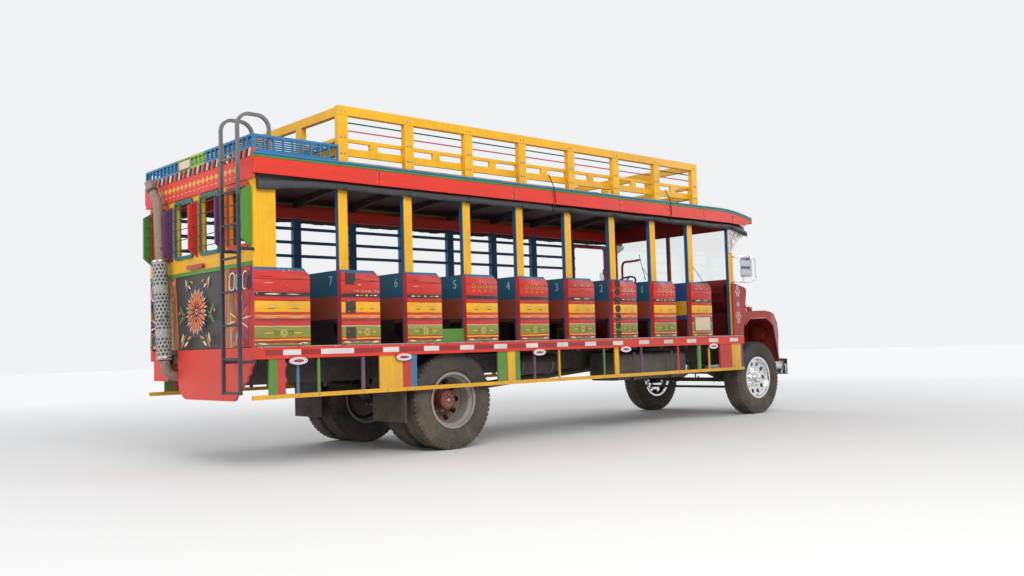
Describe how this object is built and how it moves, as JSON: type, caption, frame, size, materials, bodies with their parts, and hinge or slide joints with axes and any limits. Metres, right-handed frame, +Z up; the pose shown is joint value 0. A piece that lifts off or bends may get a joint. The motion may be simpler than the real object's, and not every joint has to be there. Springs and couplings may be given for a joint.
{
  "type": "wooden open-sided country bus",
  "caption": "Long-nosed rural bus with an open painted wooden body of bench rows, a roof rack with a rear ladder, side skirts of slats and twin rear wheels.",
  "frame": {"origin": "on the ground, below the middle of the bus's length and width", "axes": "+X forward, +Y to the bus's left, +Z up; the bus stands on its wheels as it parks"},
  "size_m": [9.1354, 2.89, 3.5],
  "materials": {
    "tyre_rubber": "matt black rubber, dusty",
    "rim_rear": "silver paint with a polished lip",
    "rim_front": "polished",
    "chassis_black": "satin black, dusty",
    "iron": "dark, oily",
    "exhaust_metal": "dull steel with rust",
    "paint_red": "gloss, worn",
    "paint_orange_red": "gloss, worn",
    "paint_black": "gloss",
    "wood_red": "painted boards, semi-gloss",
    "wood_yellow": "painted boards, semi-gloss",
    "wood_blue": "painted boards, semi-gloss",
    "wood_striped": "boards painted in coloured bands",
    "wood_bare": "worn dark boards",
    "metal_light_blue": "gloss, worn",
    "roof_sheet": "dull painted sheet",
    "chrome_trim": "polished",
    "lamp_red": "ribbed lens",
    "white_paint": "gloss",
    "fabric_grey": "woven plastic sheet, matt",
    "clear_glass": "clear",
    "wheel_black": "satin"
  },
  "bodies": {
    "bus": {"chassis_frame": "chassis_black", "front_axle": "iron", "rear_axle": "iron", "leaf_springs": "iron", "powertrain": "iron", "fuel_tank": "chassis_black", "exhaust_stack": "exhaust_metal", "exhaust_pipe": "exhaust_metal", "mud_flaps": "tyre_rubber", "floor_deck": "wood_bare", "floor_bearers": "wood_bare", "floor_rails": "paint_orange_red", "skirt_strips": "wood_yellow", "skirt_slats": "wood_striped", "rear_skirt": "paint_orange_red", "rear_wall_lower": "paint_orange_red", "rear_wall_upper": "wood_yellow", "rear_fins": "wood_striped", "side_posts": "wood_yellow", "bench_ends": "wood_striped", "bench_backs": "wood_blue", "bench_seats": "wood_bare", "bench_legs": "wood_striped", "left_side": "wood_striped", "roof_deck": "roof_sheet", "roof_bows": "wood_bare", "roof_edge_boards": "wood_red", "rack_posts": "wood_yellow", "rack_rails": "wood_yellow", "rack_ends": "wood_yellow", "roof_battens": "wood_bare", "rear_rack": "metal_light_blue", "ladder_rails": "paint_black", "ladder_rungs": "paint_black", "tarp_rolls": "fabric_grey", "cowl": "paint_red", "windshield_frame": "paint_red", "windshield_glass": "clear_glass", "fenders": "paint_red", "nose_grille": "paint_red", "front_bumper": "chrome_trim", "mirrors": "chrome_trim", "front_brackets": "white_paint", "steering_column": "wheel_black", "lamps": "lamp_red"},
    "knuckle_left": {"knuckle_left": "iron"},
    "knuckle_right": {"knuckle_right": "iron"},
    "tie_rod": {"tie_rod": "iron"},
    "wheel_front_left": {"tyre_front_left": "tyre_rubber", "rim_front_left": "rim_front"},
    "wheel_front_right": {"tyre_front_right": "tyre_rubber", "rim_front_right": "rim_front"},
    "wheel_rear_left": {"tyres_rear_left": "tyre_rubber", "rims_rear_left": "rim_rear"},
    "wheel_rear_right": {"tyres_rear_right": "tyre_rubber", "rims_rear_right": "rim_rear"},
    "steering_wheel": {"steering_wheel": "wheel_black"},
    "driver_door": {"driver_door": "paint_red"},
    "hood": {"hood": "paint_red"}
  },
  "joints": [
    {"name": "steer_left", "type": "hinge", "parent": "bus", "child": "knuckle_left", "pos_m": [3.738, 0.79, 0.525], "axis": [0, 0, 1], "range_deg": [-33, 33]},
    {"name": "steer_right", "type": "hinge", "parent": "bus", "child": "knuckle_right", "pos_m": [3.738, -0.79, 0.525], "axis": [0, 0, 1], "range_deg": [-33, 33]},
    {"name": "tie_rod_pin", "type": "hinge", "parent": "knuckle_left", "child": "tie_rod", "pos_m": [3.558, 0.79, 0.392], "axis": [0, 0, 1], "range_deg": [-33, 33]},
    {"name": "roll_front_left", "type": "hinge", "parent": "knuckle_left", "child": "wheel_front_left", "pos_m": [3.738, 0.954, 0.525], "axis": [0, 1, 0], "continuous": true},
    {"name": "roll_front_right", "type": "hinge", "parent": "knuckle_right", "child": "wheel_front_right", "pos_m": [3.738, -0.954, 0.525], "axis": [0, 1, 0], "continuous": true},
    {"name": "roll_rear_left", "type": "hinge", "parent": "bus", "child": "wheel_rear_left", "pos_m": [-2.022, 0.8215, 0.525], "axis": [0, 1, 0], "continuous": true},
    {"name": "roll_rear_right", "type": "hinge", "parent": "bus", "child": "wheel_rear_right", "pos_m": [-2.022, -0.8215, 0.525], "axis": [0, 1, 0], "continuous": true},
    {"name": "steering_wheel_turn", "type": "hinge", "parent": "bus", "child": "steering_wheel", "pos_m": [2.733, 0.61, 1.965], "axis": [-0.6428, 0, 0.766], "range_deg": [-600, 600]},
    {"name": "driver_door_swing", "type": "hinge", "parent": "bus", "child": "driver_door", "pos_m": [2.999, 1.19, 1.33], "axis": [0, 0, -1], "range_deg": [0, 70]},
    {"name": "hood_lift", "type": "hinge", "parent": "bus", "child": "hood", "pos_m": [3.388, 0, 1.845], "axis": [0, -1, 0], "range_deg": [0, 45]}
  ],
  "couplings": [
    {"joint": "steer_right", "follows": "steer_left", "ratio": 1},
    {"joint": "tie_rod_pin", "follows": "steer_left", "ratio": -1},
    {"joint": "steering_wheel_turn", "follows": "steer_left", "ratio": 18}
  ]
}
